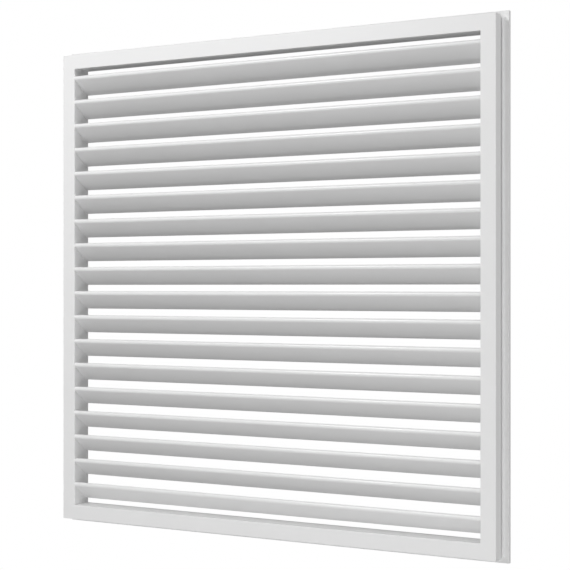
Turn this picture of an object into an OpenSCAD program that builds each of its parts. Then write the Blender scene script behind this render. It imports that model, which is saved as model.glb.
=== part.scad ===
// Square ventilation grille: a moulded front with fixed sloping blades, which clips into the
// neck of a mounting frame that is screwed to the wall around the duct.
// Millimetres, +Z up. The front faces -Y, and Y = 0 is the wall.

/* [Overall size] */
// Width of the front frame, over its side walls
front_w = 450; // [250:1:700]
// Height of the front frame, over its top and bottom walls
front_h = 450; // [250:1:700]
// Width of the flat border around the opening
border_w = 13.7; // [12:0.1:40]

/* [Front frame] */
// Depth of the outer wall, from the front face back to its free edge
return_depth = 11.1; // [9.5:0.1:30]
// Thickness of the front face
face_t = 2.0; // [1.6:0.1:4]
// Thickness of the outer and inner walls
wall_t = 2.0; // [1.2:0.1:2.5]
// Radius that eases the moulded edges
edge_r = 0.4; // [0.2:0.05:0.8]

/* [Blades] */
// Distance between neighbouring blades that the design aims at
blade_pitch_aim = 23.2; // [22:0.1:40]
// Slope of the blades below the horizontal, in degrees
blade_slope = 36.4; // [30:0.1:45]
// Radius of the round nose along each blade's front edge
nose_r = 2.25; // [1.6:0.05:3]
// How far the noses lie behind the front face
nose_setback = 0.1; // [0.05:0.05:3]
// Thickness of the blade behind its nose
blade_t = 2.2; // [1.4:0.1:3]
// Length over which the blade thins out behind its nose
nose_ramp_l = 9; // [4:0.5:12]
// How far the blades' rear edges stay in front of the inner wall's rear edge
blade_back_gap = 1.4; // [0.5:0.1:6]
// Gap between the opening's top edge and the first nose
top_gap = 6.75; // [4:0.05:15]
// Gap between the last blade and the opening's bottom edge
bottom_gap = 4.9; // [4:0.05:15]

/* [Mounting frame] */
// How far the flange stands out past the front frame on each side
flange_overhang = 4.3; // [2:0.1:20]
// Thickness of the flange at its edge
flange_t = 3.7; // [3:0.1:6]
// Height of the raised rim in front of the flange
rim_h = 3.2; // [2:0.1:8]
// Radius along the rim's front edge
rim_edge_r = 0.3; // [0.2:0.05:1.8]
// Inset of the rim from the front frame's outline
rim_inset = 0.2; // [0:0.05:2]
// Open gap between the front frame's outer wall and the rim
shadow_gap = 3.9; // [2:0.1:8]
// Thickness of the rim
rim_t = 2.0; // [1.2:0.1:3]
// Thickness of the plate behind the flange and of its turned edge
plate_t = 2.0; // [1.5:0.1:2.6]
// Thickness of the neck that stands up around the front frame's inner wall
neck_t = 1.6; // [1.2:0.1:3]
// Diameter of the wall screw holes
screw_d = 4.0; // [3:0.1:4.4]
// Diameter of the pads behind the screw holes
pad_d = 6.8; // [6:0.1:7]

/* [Fits] */
// Clearance between the neck and the inner wall
neck_clear = 0.4; // [0.2:0.05:0.8]
// Clearance between the inner wall's rear edge and the wall of the room
wall_clear = 0.3; // [0:0.05:1]
// Clearance around a snap nub in its window
snap_clear = 0.3; // [0.1:0.05:0.6]

/* [Snaps and stops] */
// Width of a snap nub
snap_w = 12; // [8:1:20]
// How far a snap nub reaches into the neck
snap_reach = 1.1; // [0.8:0.1:1.8]
// Length of a snap nub, from its catch face to the end of its ramp
snap_l = 2.6; // [2:0.1:4]
// Length of the flat tip of a snap nub
snap_tip = 0.6; // [0.3:0.1:1]
// How far the snap nubs stay in front of the outer wall's free edge
snap_edge = 1.0; // [0.5:0.1:3]
// Distance of the snap nubs from the middle of a side
snap_offset = 105; // [40:1:110]
// Height of the stops that the neck seats on
stop_h = 2.2; // [1.5:0.1:3]
// Thickness of a stop
stop_t = 1.6; // [1:0.1:3]
// Distance between neighbouring stops that the design aims at
stop_pitch_aim = 60; // [30:1:120]

/* [Hidden] */
$fn = 64;

// A cut runs this far past the surface that it opens, and a joined piece this far into its neighbour
past = 1;
bite = 0.5;

// Share of its radius by which a flared edge's round runs out in front of the face
run_out = 0.05;

// Distances off the wall, out towards the room
flange_off = flange_t;
rim_off = flange_off + rim_h;
return_off = rim_off + shadow_gap;
front_off = return_off + return_depth;
face_back_off = front_off - face_t;
neck_off = face_back_off - stop_h;
plate_back_off = flange_off - plate_t;
root_off = plate_back_off + bite;
catch_off = return_off + snap_edge + snap_l;

// Insets from the front frame's outline, in towards the opening
flange_in = -flange_overhang;
flange_lip_in = flange_in + plate_t;
rim_back_in = rim_inset + rim_t;
inner_wall_in = border_w - wall_t;
neck_back_in = inner_wall_in - neck_clear;
neck_in = neck_back_in - neck_t;
screw_in = (rim_back_in + neck_in) / 2;

// The opening and its blades
opening_w = front_w - 2 * border_w;
opening_h = front_h - 2 * border_w;
tail_r = blade_t / 2;
blade_depth = front_off - wall_clear - blade_back_gap;
tail_depth = blade_depth - nose_setback - tail_r;
tail_drop = nose_r + (tail_depth - nose_r) * tan(blade_slope) + (nose_r - tail_r) / cos(blade_slope);
blade_drop = tail_drop + tail_r;
blade_run = opening_h - top_gap - bottom_gap - blade_drop;
blade_gaps = max(1, round(blade_run / blade_pitch_aim));
blade_pitch = blade_run / blade_gaps;
first_nose_z = opening_h / 2 - top_gap;

// Places one piece on each side, drawn for the top side with its outline on the line z = 0
module on_each_side()
    for (angle = [0, 90, 180, 270])
        rotate([0, angle, 0]) {
            upright = angle % 180 != 0;
            $side_l = upright ? front_h : front_w;
            translate([0, 0, (upright ? front_w : front_h) / 2]) children();
        }

// Sections drawn as [y, z] and run along X, or drawn as [x, y] and run along Z
module run_along_x(length) rotate([90, 0, 90]) linear_extrude(length, center = true) children();
module run_along_z(length) linear_extrude(length, center = true) children();

// The band between two insets and two distances off the wall
module band(inset_a, inset_b, off_a, off_b)
    difference() {
        slab(inset_a, off_a, off_b);
        slab(inset_b, off_a - past, off_b + past);
    }

module slab(inset, off_a, off_b)
    translate([inset - front_w / 2, -off_b, inset - front_h / 2])
        cube([front_w - 2 * inset, off_b - off_a, front_h - 2 * inset]);

// Section of a slab with its front edges rounded to r_front and its rear edges to r_back
module eased_section(half, off_a, off_b, r_front, r_back)
    difference() {
        translate([-half, -off_b]) square([2 * half, off_b - off_a]);
        for (side = [-1, 1]) {
            translate([side * half, -off_b]) corner_waste(r_front, -side, 1);
            translate([side * half, -off_a]) corner_waste(r_back, -side, -1);
        }
    }

// What rounding takes off a corner whose material lies towards (dir_x, dir_y)
module corner_waste(r, dir_x, dir_y)
    difference() {
        translate([dir_x > 0 ? -past : -r, dir_y > 0 ? -past : -r]) square(r + past);
        translate([dir_x * r, dir_y * r]) circle(r);
    }

// Section of an opening whose front edges flare out, and run out a little short of tangent
module flared_section(half, off_a, off_b, r) {
    translate([-half, -off_b - past]) square([2 * half, off_b - off_a + 2 * past]);
    for (side = [-1, 1])
        translate([side * half, -off_b - run_out * r]) corner_waste(r, side, 1);
}

module eased_slab(inset, off_a, off_b, r_front, r_back)
    intersection() {
        run_along_z(front_h - 2 * inset) eased_section(front_w / 2 - inset, off_a, off_b, r_front, r_back);
        run_along_x(front_w - 2 * inset)
            mirror([1, -1]) eased_section(front_h / 2 - inset, off_a, off_b, r_front, r_back);
    }

module flared_opening(inset, off_a, off_b, r)
    intersection() {
        run_along_z(front_h) flared_section(front_w / 2 - inset, off_a, off_b, r);
        run_along_x(front_w) mirror([1, -1]) flared_section(front_h / 2 - inset, off_a, off_b, r);
    }

// One blade's section: x is the depth behind the front of its nose, y the height from its top
module blade_section() {
    // Along the flat underside, and square to it
    along = [cos(blade_slope), -sin(blade_slope)];
    up = [sin(blade_slope), cos(blade_slope)];
    nose = [nose_r, -nose_r];
    tail = [tail_depth, -tail_drop];
    // Where the upper side's ramp ends, from the nose's centre, and the angle at which it leaves the nose
    ramp_end = [nose_ramp_l, blade_t - nose_r];
    ramp_a = atan2(ramp_end.y, ramp_end.x) + acos(nose_r / norm(ramp_end));
    polygon([
        nose - nose_r * up,
        tail - tail_r * up,
        tail + tail_r * up,
        nose + ramp_end.x * along + ramp_end.y * up,
        nose + nose_r * (cos(ramp_a) * along + sin(ramp_a) * up),
        nose
    ]);
    translate(nose) circle(nose_r);
    translate(tail) circle(tail_r);
}

module blades()
    for (i = [0 : blade_gaps])
        translate([0, nose_setback - front_off, first_nose_z - i * blade_pitch])
            run_along_x(opening_w + 2 * bite) blade_section();

// Nubs on the inner wall, each with a flat catch face in front and a ramp behind it
module snap_nubs()
    on_each_side()
        for (side = [-1, 1])
            translate([side * snap_offset, -catch_off, -inner_wall_in])
                run_along_x(snap_w)
                    polygon([
                        [0, -bite],
                        [0, snap_reach],
                        [snap_tip, snap_reach],
                        [snap_l, 0],
                        [snap_l, -bite]
                    ]);

// Low stops across the frame's channel, which the neck's front edge seats on
module stops()
    on_each_side() {
        run = $side_l - 2 * border_w;
        stop_count = max(2, round(run / stop_pitch_aim));
        for (i = [0 : stop_count - 1]) {
            middle = ((i + 0.5) / stop_count - 0.5) * run;
            translate([middle - stop_t / 2, -face_back_off - bite, -inner_wall_in - bite])
                cube([stop_t, stop_h + bite, inner_wall_in - wall_t + 2 * bite]);
        }
    }

module front_grille()
    color("white") {
        difference() {
            union() {
                difference() {
                    eased_slab(0, return_off, front_off, edge_r, edge_r);
                    slab(wall_t, return_off - past, face_back_off);
                }
                slab(inner_wall_in, wall_clear, face_back_off + bite);
            }
            flared_opening(border_w, 0, front_off, edge_r);
        }
        blades();
        stops();
        snap_nubs();
    }

// A round bar at each screw's place, between two distances off the wall
module screw_bars(d, off_a, off_b)
    for (x = [-1, 0, 1], z = [-1, 0, 1])
        if (x != 0 || z != 0)
            translate([x * (front_w / 2 - screw_in), -off_a, z * (front_h / 2 - screw_in)])
                rotate([90, 0, 0]) cylinder(h = off_b - off_a, d = d);

module snap_windows() {
    window_w = snap_w + 2 * snap_clear;
    on_each_side()
        for (side = [-1, 1])
            translate([side * snap_offset - window_w / 2, -catch_off - snap_clear, -neck_back_in - past])
                cube([window_w, snap_l + 2 * snap_clear, neck_t + 2 * past]);
}

module mounting_frame()
    color("whitesmoke")
        difference() {
            union() {
                difference() {
                    eased_slab(flange_in, 0, flange_off, edge_r, edge_r);
                    band(flange_lip_in, neck_in, -past, plate_back_off);
                }
                difference() {
                    eased_slab(rim_inset, root_off, rim_off, rim_edge_r, edge_r);
                    slab(rim_back_in, root_off - past, rim_off + past);
                }
                slab(neck_in, root_off, neck_off);
                screw_bars(pad_d, 0, root_off);
            }
            slab(neck_back_in, -past, neck_off + past);
            screw_bars(screw_d, -past, flange_off + past);
            snap_windows();
        }

front_grille();
mounting_frame();
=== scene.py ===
from math import acos, atan2, copysign, cos, hypot, pi, radians, sin, tan
import bmesh
import bpy
from mathutils import Matrix, Vector


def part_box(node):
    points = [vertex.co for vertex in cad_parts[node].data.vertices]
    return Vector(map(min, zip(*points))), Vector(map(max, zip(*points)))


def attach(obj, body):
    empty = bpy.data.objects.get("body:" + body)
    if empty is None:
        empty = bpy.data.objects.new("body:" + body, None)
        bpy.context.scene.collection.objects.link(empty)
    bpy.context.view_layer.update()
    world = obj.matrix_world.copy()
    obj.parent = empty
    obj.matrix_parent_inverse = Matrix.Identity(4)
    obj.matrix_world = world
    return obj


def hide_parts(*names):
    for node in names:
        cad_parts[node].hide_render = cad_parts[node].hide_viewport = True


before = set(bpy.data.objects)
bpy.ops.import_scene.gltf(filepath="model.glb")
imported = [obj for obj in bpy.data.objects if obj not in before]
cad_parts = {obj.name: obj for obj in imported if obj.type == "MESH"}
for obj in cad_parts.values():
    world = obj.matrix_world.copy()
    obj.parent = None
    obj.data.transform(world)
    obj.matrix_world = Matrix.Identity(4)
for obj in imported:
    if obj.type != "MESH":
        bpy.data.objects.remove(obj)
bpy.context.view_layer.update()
scene = bpy.context.scene

# The camera
# It stands level with the middle of the grille, out in the room and to the right, and looks back at it.
# Its lens and place are those of the photograph.
front_lo, front_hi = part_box("front_grille")
camera_right = 0.6790
camera_away = 1.1200
camera_turn = radians(30.28)
camera = bpy.data.objects.new("camera", bpy.data.cameras.new("camera"))
camera.location = (camera_right, front_lo.y - camera_away, 0.0)
camera.rotation_euler = (radians(90), 0.0, camera_turn)
camera.data.sensor_width = 36.0
camera.data.lens = 92.25
camera.data.shift_y = 0.00347
scene.collection.objects.link(camera)
scene.camera = camera

# The front grille's border
# It is the visible part of one white plastic moulding: a flat face around the square opening, with an
# outer wall and a deeper inner wall behind it. Its edges are eased a little, as they leave the mould.
border_w = 0.0137
return_depth = 0.0111
face_t = 0.0020
wall_t = 0.0020
edge_r = 0.0004
edge_steps = 3
half_w = (front_hi.x - front_lo.x) / 2
half_h = (front_hi.z - front_lo.z) / 2
front_off = -front_lo.y
wall_clear = -front_hi.y
face_back_off = front_off - face_t
return_off = front_off - return_depth
inner_wall_in = border_w - wall_t


def swept_round(corners):
    """A square moulding, swept round the centre. Each corner of its section is given by its inset
    from the front grille's outline and by its distance off the wall."""
    ring = bmesh.new()
    upright = Matrix.Rotation(radians(90), 4, "X")
    bmesh.ops.create_grid(ring, x_segments=1, y_segments=1, size=1.0, matrix=upright)
    bmesh.ops.delete(ring, geom=ring.faces[:], context="FACES_ONLY")
    first = loop = ring.edges[:]
    verts = ring.verts[:]
    for i, (inset, off) in enumerate(corners):
        if i > 0:
            swept = bmesh.ops.extrude_edge_only(ring, edges=loop)["geom"]
            verts = [item for item in swept if isinstance(item, bmesh.types.BMVert)]
            edges = [item for item in swept if isinstance(item, bmesh.types.BMEdge)]
            loop = [edge for edge in edges if set(edge.verts) <= set(verts)]
        for vert in verts:
            vert.co = (copysign(half_w - inset, vert.co.x), -off, copysign(half_h - inset, vert.co.z))
    bmesh.ops.bridge_loops(ring, edges=first + loop)
    bmesh.ops.recalc_face_normals(ring, faces=ring.faces)
    return ring


def piece_of(shape, name):
    mesh = bpy.data.meshes.new(name)
    shape.to_mesh(mesh)
    shape.free()
    piece = bpy.data.objects.new(name, mesh)
    scene.collection.objects.link(piece)
    return piece


def apply_modifiers(piece):
    graph = bpy.context.evaluated_depsgraph_get()
    mesh = bpy.data.meshes.new_from_object(piece.evaluated_get(graph))
    piece.modifiers.clear()
    piece.data = mesh


def ease_edges(piece, radius):
    easing = piece.modifiers.new("eased edges", "BEVEL")
    easing.width = radius
    easing.segments = edge_steps
    easing.limit_method = "ANGLE"
    apply_modifiers(piece)


def combine(piece, tools, operation):
    """Joins the tools' solids to the piece, or cuts them out of it, and takes the tools away."""
    work = piece.modifiers.new("solids", "BOOLEAN")
    work.operation = operation
    work.solver = "EXACT"
    work.object = tools
    apply_modifiers(piece)
    bpy.data.objects.remove(tools)


front_grille = piece_of(swept_round([
    (0.0, return_off),
    (0.0, front_off),
    (border_w, front_off),
    (border_w, wall_clear),
    (inner_wall_in, wall_clear),
    (inner_wall_in, face_back_off),
    (wall_t, face_back_off),
    (wall_t, return_off),
]), "grille_front")
ease_edges(front_grille, edge_r)

# The front grille's blades
# Eighteen fixed bars cross the opening, each with a round nose in front, a flat underside that slopes
# down to the back and a rounded rear edge. They are moulded in one with the border.
blade_gaps = 17
blade_slope = radians(36.4)
blade_back_gap = 0.0014
blade_bite = 0.0005
top_gap = 0.00675
bottom_gap = 0.0049
nose_setback = 0.0001
nose_r = 0.00225
nose_ramp_l = 0.009
nose_steps = 20
tail_r = 0.0011
tail_steps = 10
opening_h = 2 * (half_h - border_w)
tail_depth = front_off - wall_clear - blade_back_gap - nose_setback - tail_r
tail_drop = nose_r + (tail_depth - nose_r) * tan(blade_slope) + (nose_r - tail_r) / cos(blade_slope)
blade_l = (tail_depth - nose_r + (nose_r - tail_r) * sin(blade_slope)) / cos(blade_slope)
blade_pitch = (opening_h - top_gap - bottom_gap - tail_drop - tail_r) / blade_gaps


def crosswise_edge(swept):
    """The one of the swept edges that runs from side to side."""
    edges = [item for item in swept if isinstance(item, bmesh.types.BMEdge)]
    return next(edge for edge in edges if abs(edge.verts[0].co.x - edge.verts[1].co.x) > half_w)


# One blade is drawn lying flat, its underside on z = 0 and its nose's centre over y = 0
bars = bmesh.new()
bar_end = half_w - border_w + blade_bite
under = bars.edges.new([bars.verts.new((x, 0.0, 0.0)) for x in (-bar_end, bar_end)])
ramp_rise = 2 * tail_r - nose_r
ramp_a = atan2(ramp_rise, nose_ramp_l) + acos(nose_r / hypot(nose_ramp_l, ramp_rise))
nose_turn = 1.5 * pi - ramp_a
nose = bmesh.ops.spin(bars, geom=[under, *under.verts], cent=(0.0, 0.0, nose_r), axis=(1.0, 0.0, 0.0),
                      angle=-nose_turn, steps=nose_steps)
edge = crosswise_edge(nose["geom_last"])
for back in (nose_ramp_l, blade_l):
    edge = crosswise_edge(bmesh.ops.extrude_edge_only(bars, edges=[edge])["geom"])
    for vert in edge.verts:
        vert.co = (vert.co.x, back, 2 * tail_r)
tail = bmesh.ops.spin(bars, geom=[edge, *edge.verts], cent=(0.0, blade_l, tail_r), axis=(1.0, 0.0, 0.0),
                      angle=-pi, steps=tail_steps)
edge = crosswise_edge(tail["geom_last"])
bmesh.ops.contextual_create(bars, geom=[*edge.verts, *under.verts])
bmesh.ops.holes_fill(bars, edges=[rim for rim in bars.edges if rim.is_boundary], sides=0)
bmesh.ops.recalc_face_normals(bars, faces=bars.faces)

# It is tipped about its nose, put under the opening's top edge and repeated down to the bottom
first_nose = Vector((0.0, nose_setback + nose_r - front_off, opening_h / 2 - top_gap - nose_r))
bmesh.ops.translate(bars, vec=(0.0, 0.0, -nose_r), verts=bars.verts)
bmesh.ops.rotate(bars, cent=(0.0, 0.0, 0.0), matrix=Matrix.Rotation(-blade_slope, 3, "X"), verts=bars.verts)
bmesh.ops.translate(bars, vec=first_nose, verts=bars.verts)
first_blade = bars.verts[:] + bars.edges[:] + bars.faces[:]
for i in range(1, blade_gaps + 1):
    again = bmesh.ops.duplicate(bars, geom=first_blade)["geom"]
    verts = [item for item in again if isinstance(item, bmesh.types.BMVert)]
    bmesh.ops.translate(bars, vec=(0.0, 0.0, -i * blade_pitch), verts=verts)
combine(front_grille, piece_of(bars, "blades"), "UNION")

# The front grille's stops and snap nubs
# Inside the channel behind the border, low stops seat the mounting frame's neck, and two nubs on each
# side's inner wall snap into it. They belong to the same moulding.
stop_h = 0.0022
stop_t = 0.0016
stops_per_side = 7
snap_w = 0.012
snap_l = 0.0026
snap_tip = 0.0006
snap_reach = 0.0011
snap_edge = 0.0010
snap_offset = 0.105
bite = 0.0005
neck_off = face_back_off - stop_h
catch_off = return_off + snap_edge + snap_l


def block(shape, lo, hi):
    middle = (Vector(lo) + Vector(hi)) / 2
    size = Vector(hi) - Vector(lo)
    place = Matrix.Translation(middle) @ Matrix.Diagonal((*size, 1.0))
    return bmesh.ops.create_cube(shape, size=1.0, matrix=place)["verts"]


def repeat_on_sides(shape):
    """Repeats what is drawn for the top side on the other three."""
    top = shape.verts[:] + shape.edges[:] + shape.faces[:]
    for quarter in (1, 2, 3):
        again = bmesh.ops.duplicate(shape, geom=top)["geom"]
        verts = [item for item in again if isinstance(item, bmesh.types.BMVert)]
        turn = Matrix.Rotation(quarter * pi / 2, 3, "Y")
        bmesh.ops.rotate(shape, cent=(0.0, 0.0, 0.0), matrix=turn, verts=verts)


fittings = bmesh.new()
stop_run = 2 * (half_w - border_w)
for i in range(stops_per_side):
    middle = ((i + 0.5) / stops_per_side - 0.5) * stop_run
    block(fittings, (middle - stop_t / 2, -face_back_off - bite, half_h - inner_wall_in - bite),
          (middle + stop_t / 2, -neck_off, half_h - wall_t + bite))
nub_foot = half_h - inner_wall_in
for middle in (-snap_offset, snap_offset):
    nub = block(fittings, (middle - snap_w / 2, -catch_off, nub_foot - bite),
                (middle + snap_w / 2, snap_l - catch_off, nub_foot + snap_reach))
    rear_tip = [vert for vert in nub if vert.co.y > snap_tip - catch_off and vert.co.z > nub_foot]
    bmesh.ops.translate(fittings, vec=(0.0, snap_tip - snap_l, 0.0), verts=rear_tip)
repeat_on_sides(fittings)
combine(front_grille, piece_of(fittings, "fittings"), "UNION")


def finish_shading(piece):
    """Smooth shading over the rounds, and a sharp break where two flat faces meet."""
    piece.data.shade_smooth()
    piece.data.set_sharp_from_angle(angle=radians(34))
    evened = piece.modifiers.new("evened normals", "WEIGHTED_NORMAL")
    evened.keep_sharp = True


finish_shading(front_grille)
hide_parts("front_grille")
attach(front_grille, "root")

# The front grille's plastic
# It is white ABS with a thin clear gloss: a fine grain from the mould, faint clouds where the melt cooled
# at different rates, and edges that handling has polished a little and that are painted a little lighter as
# a painted highlight. Scales count features per metre.
cloud_scale = 22.0
speck_scale = 420.0
grain_scale = 1700.0
grain_h = 0.000008
grain_share = 0.5
edge_polish_and_highlight_r = 0.0006
edge_polish_and_highlight_full = 0.8
gloss_share = 0.35
gloss_roughness = 0.2


class Pattern:
    """A value in a material's node tree, on which arithmetic adds maths nodes."""

    def __init__(self, tree, socket):
        self.tree = tree
        self.socket = socket

    def node(self, kind, inputs, output=0, **settings):
        """Adds a node that reads patterns or plain numbers, and gives its output as a pattern."""
        made = self.tree.nodes.new(kind)
        for setting, value in settings.items():
            setattr(made, setting, value)
        for place, value in inputs.items():
            if isinstance(value, Pattern):
                self.tree.links.new(value.socket, made.inputs[place])
            else:
                made.inputs[place].default_value = value
        return Pattern(self.tree, made.outputs[output])

    def maths(self, operation, first, second):
        return self.node("ShaderNodeMath", {0: first, 1: second}, operation=operation)

    def __add__(self, other):
        return self.maths("ADD", self, other)

    def __radd__(self, other):
        return self.maths("ADD", other, self)

    def __sub__(self, other):
        return self.maths("SUBTRACT", self, other)

    def __rsub__(self, other):
        return self.maths("SUBTRACT", other, self)

    def __mul__(self, other):
        return self.maths("MULTIPLY", self, other)

    def __rmul__(self, other):
        return self.maths("MULTIPLY", other, self)


def satin_plastic(name, whiteness, gloss_break):
    """White ABS of a given whiteness and roughness, with its grain, clouds, gloss, and polished edges that
    carry a painted highlight.
    """
    material = bpy.data.materials.new(name)
    material.use_nodes = True
    tree = material.node_tree
    shader = tree.nodes["Principled BSDF"]
    place = Pattern(tree, tree.nodes.new("ShaderNodeTexCoord").outputs["Object"])
    facing = Pattern(tree, tree.nodes.new("ShaderNodeNewGeometry").outputs["Normal"])

    clouds = place.node("ShaderNodeTexNoise", {"Vector": place, "Scale": cloud_scale, "Detail": 3.0})
    specks = place.node("ShaderNodeTexNoise", {"Vector": place, "Scale": speck_scale, "Detail": 2.0})
    grain = place.node("ShaderNodeTexNoise", {"Vector": place, "Scale": grain_scale, "Detail": 2.0})
    rounded = place.node("ShaderNodeBevel", {"Radius": edge_polish_and_highlight_r}, samples=4)
    alike = rounded.node("ShaderNodeVectorMath", {0: rounded, 1: facing}, output=1, operation="DOT_PRODUCT")
    edge_polish_and_highlight_range = {"Value": alike, "From Min": 1.0, "From Max": edge_polish_and_highlight_full, "To Min": 0.0, "To Max": 1.0}
    edges = alike.node("ShaderNodeMapRange", edge_polish_and_highlight_range)

    # The edge mask raises the white on rounded edges by a hundredth, which is a painted highlight. Below,
    # the same mask lowers the roughness there for the polish.
    white = whiteness * (0.985 + 0.02 * clouds + 0.01 * specks + 0.01 * edges)
    colour = white.node("ShaderNodeCombineColor", {"Red": white, "Green": white, "Blue": white})
    roughness = gloss_break + 0.08 * clouds - 0.06 * edges
    bumps = {"Height": grain + 0.5 * specks, "Strength": grain_share, "Distance": grain_h}
    relief = grain.node("ShaderNodeBump", bumps)
    shader.inputs["Coat Weight"].default_value = gloss_share
    shader.inputs["Coat Roughness"].default_value = gloss_roughness
    tree.links.new(colour.socket, shader.inputs["Base Color"])
    tree.links.new(roughness.socket, shader.inputs["Roughness"])
    tree.links.new(relief.socket, shader.inputs["Normal"])
    return material


front_grille.data.materials.clear()
front_grille.data.materials.append(satin_plastic("white front plastic", 0.88, 0.42))

# The mounting frame
# It is the second white plastic moulding, screwed to the wall: a wide flange, a raised rim that stays
# just behind the front grille, and a neck around its inner wall that the grille's nubs snap into.
flange_overhang = 0.0043
flange_t = 0.0037
rim_h = 0.0032
rim_edge_r = 0.0003
rim_inset = 0.0002
rim_t = 0.0020
plate_t = 0.0020
neck_t = 0.0016
neck_clear = 0.0004
rim_off = flange_t + rim_h
plate_back_off = flange_t - plate_t
flange_in = -flange_overhang
rim_back_in = rim_inset + rim_t
neck_back_in = inner_wall_in - neck_clear
neck_in = neck_back_in - neck_t
mounting_frame = piece_of(swept_round([
    (flange_in, 0.0),
    (flange_in, flange_t),
    (rim_inset, flange_t),
    (rim_inset, rim_off),
    (rim_back_in, rim_off),
    (rim_back_in, flange_t),
    (neck_in, flange_t),
    (neck_in, neck_off),
    (neck_back_in, neck_off),
    (neck_back_in, 0.0),
    (neck_in, 0.0),
    (neck_in, plate_back_off),
    (flange_in + plate_t, plate_back_off),
    (flange_in + plate_t, 0.0),
]), "grille_mounting")
ease_edges(mounting_frame, rim_edge_r)

# The mounting frame's screw holes and snap windows
# Eight holes for wall screws, each with a round pad behind it that rests on the wall, and two windows in
# each side of the neck for the nubs. They are moulded in.
screw_r = 0.0020
pad_r = 0.0034
pad_short = 0.00005
screw_sides = 48
snap_clear = 0.0003
past = 0.0010
screw_in = (rim_back_in + neck_in) / 2


def bars_at_screws(r, off_a, off_b):
    """Round bars at the eight screws' places, between two distances off the wall."""
    bars = bmesh.new()
    for x in (-1, 0, 1):
        for z in (-1, 0, 1):
            if x or z:
                centre = Vector((x * (half_w - screw_in), -(off_a + off_b) / 2, z * (half_h - screw_in)))
                place = Matrix.Translation(centre) @ Matrix.Rotation(radians(90), 4, "X")
                bmesh.ops.create_cone(bars, cap_ends=True, segments=screw_sides, radius1=r, radius2=r,
                                      depth=off_b - off_a, matrix=place)
    return bars


combine(mounting_frame, piece_of(bars_at_screws(pad_r, pad_short, plate_back_off + bite), "pads"), "UNION")
combine(mounting_frame, piece_of(bars_at_screws(screw_r, -past, flange_t + past), "screws"), "DIFFERENCE")
windows = bmesh.new()
window_w = snap_w + 2 * snap_clear
for middle in (-snap_offset, snap_offset):
    block(windows, (middle - window_w / 2, -catch_off - snap_clear, half_h - neck_back_in - past),
          (middle + window_w / 2, snap_l + snap_clear - catch_off, half_h - neck_in + past))
repeat_on_sides(windows)
combine(mounting_frame, piece_of(windows, "windows"), "DIFFERENCE")
finish_shading(mounting_frame)
mounting_frame.data.materials.clear()
mounting_frame.data.materials.append(satin_plastic("white frame plastic", 0.87, 0.45))
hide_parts("mounting_frame")
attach(mounting_frame, "root")

# The studio
# A round pale floor lies well below the grille. The air around it looks plain white, gives a weak, even
# light from above the horizon, and four soft lamps stand in front.
floor_drop = 0.75
floor_r = 2.4
floor_white = 0.9
floor_roughness = 0.9
studio_floor = bmesh.new()
floor_place = Matrix.Translation((0.0, 0.0, -floor_drop))
bmesh.ops.create_circle(studio_floor, cap_ends=True, segments=96, radius=floor_r, matrix=floor_place)
studio_floor = piece_of(studio_floor, "floor")
pale = bpy.data.materials.new("pale floor")
pale.use_nodes = True
matt = pale.node_tree.nodes["Principled BSDF"]
matt.inputs["Base Color"].default_value = (floor_white, floor_white, floor_white, 1.0)
matt.inputs["Roughness"].default_value = floor_roughness
studio_floor.data.materials.append(pale)

air_light = 0.32
world = bpy.data.worlds.new("studio")
world.use_nodes = True
air = world.node_tree.nodes["Background"]
air.inputs["Color"].default_value = (1.0, 1.0, 1.0, 1.0)
seen = Pattern(world.node_tree, world.node_tree.nodes.new("ShaderNodeLightPath").outputs["Is Camera Ray"])
ray = Pattern(world.node_tree, world.node_tree.nodes.new("ShaderNodeTexCoord").outputs["Generated"])
height = ray.node("ShaderNodeSeparateXYZ", {"Vector": ray}, output="Z")
upper = height.maths("GREATER_THAN", height, 0.0)
world.node_tree.links.new(seen.maths("MAXIMUM", seen, air_light * upper).socket, air.inputs["Strength"])
scene.world = world
scene.view_settings.view_transform = "Standard"


def soft_lamp(name, aside, above, away, side, watts):
    """A square soft lamp aimed at the grille, so many degrees to its right and above it."""
    data = bpy.data.lights.new(name, "AREA")
    data.size = side
    data.energy = watts
    lamp = bpy.data.objects.new(name, data)
    way = Vector((sin(radians(aside)) * cos(radians(above)), -cos(radians(aside)) * cos(radians(above)),
                  sin(radians(above))))
    lamp.location = away * way
    lamp.rotation_euler = way.to_track_quat("Z", "Y").to_euler()
    lamp.visible_camera = False
    scene.collection.objects.link(lamp)


soft_lamp("key lamp", aside=-28, above=34, away=1.3, side=0.20, watts=7.6)
soft_lamp("side lamp", aside=80, above=25, away=2.6, side=1.20, watts=15.6)
soft_lamp("front lamp", aside=20, above=-2, away=2.6, side=0.36, watts=5.4)
soft_lamp("low lamp", aside=30, above=-25, away=1.3, side=0.30, watts=1.95)
